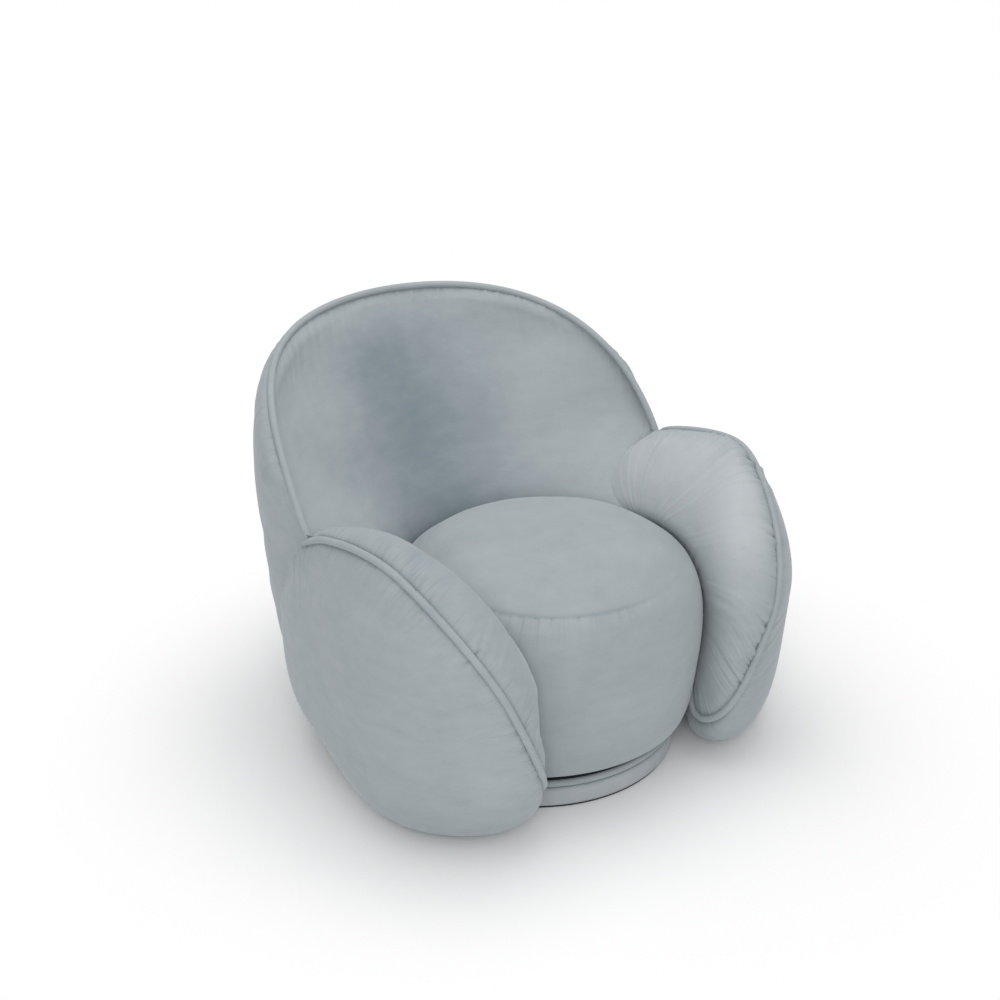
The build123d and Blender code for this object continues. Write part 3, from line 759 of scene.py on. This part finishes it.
def seamTurn(share, inner):
    # the turn at which a line of that share meets the arm's seam plane, by halving
    b = back
    low, high = (np.full(share.shape, np.radians(t)) for t in b["seamTurns"])
    # the inner panel and the foot of the outer one run deeper into the arm
    if inner:
        depth = b["lap"] + b["innerLap"] * ramp(share, *b["innerLapRise"])
    else:
        depth = b["lap"] + b["footLap"] * ramp(share, *b["footLapRise"])
    for step in range(30):
        middle = (low + high) / 2
        beyond = (backPoint(share, middle, inner) - seamPoint) @ seamNormal > depth
        low, high = np.where(beyond, low, middle), np.where(beyond, middle, high)
    return low


def makeBack():
    # lines of equal share carried from one arm's seam plane to the other's, down outside and up inside
    b = back
    lip = np.linspace(0, 1, 60)[:-1] ** 1.8 * b["lipShare"]  # closer rows in the rim's bend
    down = np.concatenate([lip, np.linspace(b["lipShare"], 1, 70)])
    up = down[::-1]
    # columns are closer at the ends
    c = np.linspace(-1, 1, b["around"])
    c = np.sin(c * np.pi / 2 * b["endCrowd"]) / math.sin(np.pi / 2 * b["endCrowd"])
    outer = backPoint(down[:, None], c * seamTurn(down, False)[:, None], False)
    inner = backPoint(up[:, None], c * seamTurn(up, True)[:, None], True)
    under = outer[-1:] + (inner[:1] - outer[-1:]) * np.linspace(0, 1, 8)[1:-1, None, None]
    grid = np.concatenate([outer, under, inner[:-1]])
    rows = len(grid)
    isInner = np.arange(rows)[:, None] >= len(outer) + len(under)
    isOuter = np.arange(rows)[:, None] < len(outer)
    off = np.concatenate([np.linalg.norm(outer - outer[:1], axis=-1), np.full(under.shape[:2], 1.0),
                          np.linalg.norm(inner[:-1] - inner[-1:], axis=-1)])
    s = lengthAlong(outer[0])
    # both ends run into the arm: their outer lines are drawn in to the arm's own outline in the seam plane
    end = grid[:, -1]
    way = unit(end - b["endMiddle"])
    meet = b["endMiddle"] + way * (reach(armTucked, b["endMiddle"], way)[:, None] - b["leadGap"])
    share = np.where(isOuter[:, 0], ramp(end[:, 2], 0.02, 0.1), 0)
    share = share * ramp(np.linalg.norm(end - end[0], axis=1), 0.0, 0.02)
    share *= armOwn(end) > -b["leadGap"]
    lead = (meet - end) * share[:, None]
    lead *= np.minimum(1, b["leadMost"] / np.maximum(np.linalg.norm(lead, axis=1, keepdims=True), 1e-6))
    near = ramp(np.abs(c)[None], b["endStart"], 1.0)
    sides = np.sign(c)[:, None] * np.array([1, 0, 0]) + np.array([0, 1, 1])
    grid = grid + near[..., None] * lead[:, None] * sides[None]
    outward = gridNormals(np.concatenate([grid[-1:], grid, grid[:1]]), False)[1:-1]
    middle = grid.mean(0, keepdims=True)
    probe = (20, b["around"] // 2)  # a point of the outer panel, which faces away from the middle
    outward *= np.sign((outward[probe] * (grid[probe] - middle[0, probe[1]])).sum())
    slant = s + b["gatherSlant"] * off
    gather = (ripple(slant, b["fineGather"], 31) * np.exp(-off / b["fineFall"])
              + 0.6 * ripple(slant, b["wideGather"], 32) * np.exp(-off / b["wideFall"]))
    dip = bell(off, sewing["dipWidth"])
    roll = bell(off - sewing["rollOff"], sewing["rollWidth"])
    pucker = np.where(isInner, b["gatherInner"], b["gatherOuter"]) * gather * (1 - 0.6 * dip)
    move = np.where(isInner, -b["dipInner"], -b["dipOuter"]) * dip + b["rollHeight"] * roll + pucker
    move = move + b["waveHeight"] * waves(grid, b["waveSize"], 41) * np.clip(off / 0.05, 0, 1)
    grid = grid + outward * move[..., None]
    # the end faces lie just past the seam planes: their loops shrink to a point
    middle = grid.mean(0, keepdims=True)
    startCaps = [grid[:, :1] + (middle[:, :1] - grid[:, :1]) * k for k in (1.0, 0.55, 0.12)]
    endCaps = [grid[:, -1:] + (middle[:, -1:] - grid[:, -1:]) * k for k in (0.12, 0.55, 1.0)]
    # painted shade: a leaning band, darkest in the middle of the inner panel in the hollow between the arms
    # and the pouf, and more toward the panel's top; the rest of the inner panel is painted a little lighter
    lean = b["paintedShadeLean"] * (grid[..., 2] - b["paintedShadeLevel"]) - b["paintedShadeWave"] * waves(grid, b["paintedShadeWaveSize"], 44)
    across = grid[..., 0] - b["paintedShadeX"] - lean
    shadeBand = bell(across, np.where(across < 0, b["paintedShadeLeft"], b["paintedShadeRight"])) * isInner
    napAndPaintedLight = b["paintedLightRest"] - b["paintedShadeBand"] * shadeBand - b["paintedShadeHead"] * ramp(grid[..., 2], *b["paintedShadeHeadRise"])
    # the seam and gather marks are painted shade beside the welt and in the gathers' creases
    marks = {"seam": bell(off, sewing["shadeWidth"]), "off": off, "along": np.repeat(s[None], rows, 0),
             "gather": np.exp(-off / 0.022) * (0.35 + 0.65 * ramp(np.abs(c), 0.5, 0.9)),
             "napAndPaintedLight": napAndPaintedLight * isInner * ramp(off, 0.0, 0.16)}
    for key, v in marks.items():
        before = np.repeat(v[:, :1], len(startCaps), 1)
        after = np.repeat(v[:, -1:], len(endCaps), 1)
        marks[key] = np.concatenate([before, v, after], 1)
    grid = np.concatenate(startCaps + [grid] + endCaps, 1)
    pad = gridPiece("tubBackPad", grid, "upper", wrapRows=True, wrapCols=False, marks=marks)

    def held(p):
        spread = np.arctan2(p[:, 0], p[:, 1] - b["axisY"])
        rimR, rimZ = backRim(np.clip(spread, -b["heldTurn"], b["heldTurn"]))
        sewnLine = np.hypot(np.hypot(p[:, 0], p[:, 1] - b["axisY"]) - rimR, p[:, 2] - rimZ) < b["heldWelt"]
        leftSeam = (p - seamPoint) @ seamNormal > -b["heldSeam"]
        rightSeam = (p * [-1, 1, 1] - seamPoint) @ seamNormal > -b["heldSeam"]
        return sewnLine | leftSeam | rightSeam | (seatDepth(p) > -b["heldPouf"]) | (p[:, 2] < b["heldFoot"])

    settle(pad, held, b["cap"])
    dress(pad, velvetPad, "velvet", "back_inner_pad", "back_outer_pad")
    turn = np.radians(np.linspace(-b["weltEnd"], b["weltEnd"], 600))  # the arms' welts go on from here
    radius, z = backRim(turn)
    line = np.stack([radius * np.sin(turn), b["axisY"] + radius * np.cos(turn), z - b["weltDrop"]], -1)
    cord, length = tubeGrid(evenPath(line, 520, b["weltRadius"]), b["weltRadius"])
    welt = gridPiece("tubBackWelt", cord, "upper", marks={"along": length})
    dress(welt, velvetCord, "velvet", "back_welt")


makeBack()
print("back made")


# Plinth

plinth = dict(radius=0.262, inner=0.2582, top=0.0422, foot=0.004, puff=0.0012, tuck=0.003, tuckShare=0.05,
              waveSize=0.05, waveHeight=0.0004, napAndPaintedLight=0.25, weltLevel=0.0488, weltRing=0.258,
              weltRadius=0.0062, around=360)


def makePlinth():
    # a puffed sleeve and a ring of cord, both carried around the swivel axis
    p = plinth
    turn = np.linspace(0, 2 * np.pi, p["around"], endpoint=False)
    t = np.linspace(0, 1, 22)
    z = p["foot"] + (p["top"] - p["foot"]) * t
    tuck = p["tuck"] * (np.exp(-t / p["tuckShare"]) + np.exp(-(1 - t) / p["tuckShare"]))
    r = p["radius"] + p["puff"] * np.sin(np.pi * t) - tuck
    r = r[:, None] + p["waveHeight"] * ripple(turn * 0.26, p["waveSize"], 51) * np.sin(np.pi * t)[:, None]
    radius = np.concatenate([r, np.full((2, len(turn)), p["inner"])])
    level = np.repeat(np.concatenate([z, [p["top"], p["foot"]]])[:, None], len(turn), 1)
    grid = np.stack([radius * np.cos(turn), radius * np.sin(turn), level], -1)
    # painted shade on the sleeve's top under the welt and the pouf; the pile mark of 0.25 paints the whole
    # sleeve lighter, against the shade the pouf casts on it
    seam = np.concatenate([np.exp(-(1 - t) / 0.07), [1, 0]])
    marks = {"seam": np.repeat(seam[:, None], len(turn), 1), "off": level,
             "napAndPaintedLight": np.full(level.shape, p["napAndPaintedLight"])}
    wall = gridPiece("plinthSleeve", grid, "base", wrapRows=True, marks=marks)
    dress(wall, velvetPad, "velvet", "plinth_cover")
    k = np.linspace(0, 2 * np.pi, 18, endpoint=False)
    ring = p["weltRing"] + p["weltRadius"] * np.cos(k)[:, None]
    cord = np.stack([ring * np.cos(turn), ring * np.sin(turn),
                     np.repeat(p["weltLevel"] + p["weltRadius"] * np.sin(k)[:, None], len(turn), 1)], -1)
    length = np.repeat((turn * p["weltRing"])[None], len(k), 0)
    welt = gridPiece("plinthWelt", cord, "base", wrapRows=True, marks={"along": length})
    dress(welt, velvetCord, "velvet", "plinth_welt")


makePlinth()
print("plinth made")


# Finishes of the frame inside

def plywoodFinish(name, dark, light):
    f = Finish(name)
    grain = f.noise(1.0, 5.0, 0.65, f.stretch((6, 6, 240)), warp=0.6)
    fleck = f.noise(160.0, 3.0, 0.6)
    colour = f.mix(grain * 0.8 + fleck * 0.3, dark, light)
    return f.feed(Base_Color=colour, Roughness=0.55 + fleck * 0.25, Normal=f.bump(grain, 0.2, 0.0006))


def steelFinish(name, dark, light):
    f = Finish(name)
    paintedLight = f.noise(1.0, 4.0, 0.6, f.stretch((30, 600, 600)))
    spangle = f.noise(70.0, 2.0, 0.5)
    colour = f.mix(spangle, dark, light)
    return f.feed(Base_Color=colour, Metallic=1.0, Roughness=0.28 + paintedLight * 0.25,
                  Normal=f.bump(paintedLight, 0.08, 0.0003))


def clothFinish(name, dark, light, scale):
    f = Finish(name)
    inputs = {"Vector": f.place, "Scale": scale, "Distortion": 1.5, "Detail": 2.0}
    weave = f.add("ShaderNodeTexWave", {"bands_direction": "X"}, inputs, "Fac")
    fuzz = f.noise(420.0, 3.0, 0.6)
    return f.feed(Base_Color=f.mix(weave * 0.5 + fuzz * 0.5, dark, light), Roughness=0.8 + fuzz * 0.15,
                  Normal=f.bump(weave, 0.3, 0.0006))


def foamFinish(name, dark, light):
    f = Finish(name)
    cell = f.add("ShaderNodeTexVoronoi", {}, {"Vector": f.place, "Scale": 420.0}, "Distance")
    age = f.noise(9.0, 3.0)
    return f.feed(Base_Color=f.mix(age, dark, light), Roughness=0.85 + cell * 0.1,
                  Normal=f.bump(cell, 0.4, 0.0008))


def plasticFinish(name, dark, light):
    f = Finish(name)
    mould = f.noise(240.0, 3.0)
    return f.feed(Base_Color=f.mix(mould, dark, light), Roughness=0.4 + mould * 0.2,
                  Normal=f.bump(mould, 0.1, 0.0002))


insideFinishes = {
    "plywood": plywoodFinish("plywood", (0.46, 0.31, 0.17, 1), (0.74, 0.58, 0.38, 1)),
    "gapShade": plywoodFinish("gapShadePlywood", (0.012, 0.012, 0.013, 1), (0.04, 0.04, 0.042, 1)),
    "steel": steelFinish("zincSteel", (0.44, 0.45, 0.46, 1), (0.66, 0.66, 0.66, 1)),
    "foam": foamFinish("openFoam", (0.72, 0.66, 0.48, 1), (0.86, 0.82, 0.68, 1)),
    "cage_plastic": plasticFinish("cagePlastic", (0.03, 0.03, 0.034, 1), (0.07, 0.07, 0.075, 1)),
    "dark_cloth": clothFinish("darkFelt", (0.008, 0.008, 0.009, 1), (0.03, 0.03, 0.032, 1), 260.0),
    "webbing": clothFinish("webbing", (0.03, 0.03, 0.035, 1), (0.12, 0.12, 0.125, 1), 180.0),
    "velvet": velvetCord}
# these boards get near-black plywood: painted shade for the shadow in the gap over the plinth
gapShadeBoards = ("plinth_top_board", "swivel_spacer", "seat_board")  # they show in the gap over the plinth
for sub in frame["record"]["subparts"]:
    node = nodes[sub["node"]]
    node.data.materials.clear()
    finish = "gapShade" if sub["node"] in gapShadeBoards else sub["material_slot"]
    node.data.materials.append(insideFinishes[finish])
print("frame finishes set")


# Floor, light and camera

studio = dict(eye=(-1.8474, -2.4620, 1.8930), pitch=24.68, yaw=35.75, lens=68.4, sensor=36.0, floorHalf=14.0,
              floorDark=(0.95, 0.95, 0.95, 1), floorLight=(0.97, 0.97, 0.97, 1),
              shadowNear=0.52, shadowFar=0.95, sky=0.605,
              key=31.5, keyPlace=(0.15, 0.35, 2.9), keyAim=(0, 0, 0.3), keySize=2.6,
              fill=35.0, fillPlace=(-1.9, -2.6, 1.9), fillAim=(0, 0, 0.35), fillSize=1.5)


def makeFloor():
    ground = bpy.data.meshes.new("ground")
    half = studio["floorHalf"]
    corners = [(-half, -half, 0), (half, -half, 0), (half, half, 0), (-half, half, 0)]
    ground.from_pydata(corners, [], [(0, 1, 2, 3)])
    floor = bpy.data.objects.new("floor", ground)
    bpy.context.collection.objects.link(floor)
    f = Finish("paleFloor")
    f.feed(Base_Color=f.mix(f.noise(3.0), studio["floorDark"], studio["floorLight"]), Roughness=0.9,
           Specular_IOR_Level=0.0)
    # far from the chair the camera sees the floor as plain white, near it the lit floor with its shadow
    distance = f.add("ShaderNodeVectorMath", {"operation": "LENGTH"}, {0: f.place}, "Value")
    fade = f.add("ShaderNodeMapRange", {"interpolation_type": "SMOOTHSTEP"},
                 {"Value": distance, "From Min": studio["shadowNear"], "From Max": studio["shadowFar"]})
    seen = f.add("ShaderNodeLightPath", {}, {}, "Is Camera Ray")
    white = f.add("ShaderNodeEmission", {}, {"Strength": 1.0})
    blend = f.add("ShaderNodeMixShader", {}, {0: fade * seen, 1: Value(f, f.shader.outputs[0]), 2: white})
    f.tree.links.new(blend.socket, f.tree.nodes["Material Output"].inputs[0])
    ground.materials.append(f.material)


def makeLamp(name, place, aim, size, power):
    lamp = bpy.data.lights.new(name, "AREA")
    lamp.shape = "DISK"
    lamp.size = size
    lamp.energy = power
    holder = bpy.data.objects.new(name, lamp)
    holder.location = place
    way = np.array(aim) - np.array(place)
    tip = math.acos(-way[2] / np.linalg.norm(way))
    holder.rotation_euler = (tip, 0, math.atan2(way[1], way[0]) - math.pi / 2)
    bpy.context.collection.objects.link(holder)


def makeWorld():
    world = bpy.data.worlds.new("studioSky")
    bpy.context.scene.world = world
    world.use_nodes = True
    tree = world.node_tree
    sky = tree.nodes["Background"]
    sky.inputs["Color"].default_value = (1, 1, 1, 1)
    sky.inputs["Strength"].default_value = studio["sky"]
    plain = tree.nodes.new("ShaderNodeBackground")
    plain.inputs["Strength"].default_value = 1.0
    rays = tree.nodes.new("ShaderNodeLightPath")
    blend = tree.nodes.new("ShaderNodeMixShader")
    tree.links.new(rays.outputs["Is Camera Ray"], blend.inputs[0])
    tree.links.new(sky.outputs[0], blend.inputs[1])
    tree.links.new(plain.outputs[0], blend.inputs[2])
    tree.links.new(blend.outputs[0], tree.nodes["World Output"].inputs[0])


def makeCamera():
    lens = bpy.data.cameras.new("photoCamera")
    lens.lens = studio["lens"]
    lens.sensor_width = studio["sensor"]
    holder = bpy.data.objects.new("photoCamera", lens)
    holder.location = studio["eye"]
    holder.rotation_euler = (math.radians(90 - studio["pitch"]), 0, math.radians(-studio["yaw"]))
    bpy.context.collection.objects.link(holder)
    bpy.context.scene.camera = holder


makeFloor()
makeLamp("keyLamp", studio["keyPlace"], studio["keyAim"], studio["keySize"], studio["key"])
makeLamp("fillLamp", studio["fillPlace"], studio["fillAim"], studio["fillSize"], studio["fill"])
makeWorld()
makeCamera()
bpy.context.scene.view_settings.view_transform = "Standard"
print("stage set")
